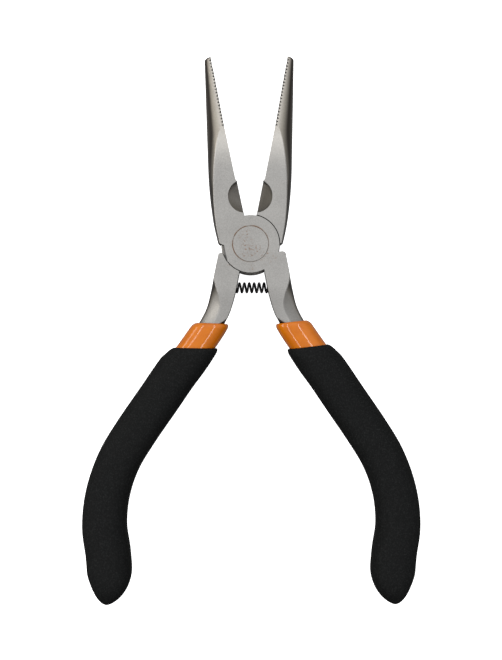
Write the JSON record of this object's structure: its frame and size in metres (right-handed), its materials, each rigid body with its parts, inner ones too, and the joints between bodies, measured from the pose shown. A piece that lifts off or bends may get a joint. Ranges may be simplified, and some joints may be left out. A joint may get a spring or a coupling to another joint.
{
  "type": "spring-loaded needle nose pliers",
  "caption": "Small needle nose pliers lying flat and open: toothed tapering jaws with a side cutter, lap joint with a flush rivet, return spring, and foam grips over dipped sleeves.",
  "frame": {"origin": "on the pivot's axis, at the joint's back face", "axes": "+Z out of the front of the pliers along the pivot's axis, +Y along the pliers towards the jaw tips, +X to the right, towards the front lever's handle"},
  "size_m": [0.0775, 0.1259, 0.0094],
  "materials": {
    "steel": "satin ground steel",
    "spring_steel": "black oiled spring wire",
    "dipped_vinyl": "glossy orange dipped vinyl",
    "foam": "matt black closed-cell foam rubber"
  },
  "bodies": {
    "back_half": {"back_lever": "steel", "pivot_rivet": "steel", "return_spring": "spring_steel", "left_dipped_sleeve": "dipped_vinyl", "left_foam_grip": "foam"},
    "front_half": {"front_lever": "steel", "right_dipped_sleeve": "dipped_vinyl", "right_foam_grip": "foam"}
  },
  "joints": [
    {"name": "pivot", "type": "hinge", "parent": "back_half", "child": "front_half", "pos_m": [0, 0, 0.0038], "axis": [0, 0, 1], "range_deg": [-22.8, 11], "stiffness_Nm_per_rad": 0.12, "deforming": ["return_spring"]}
  ]
}
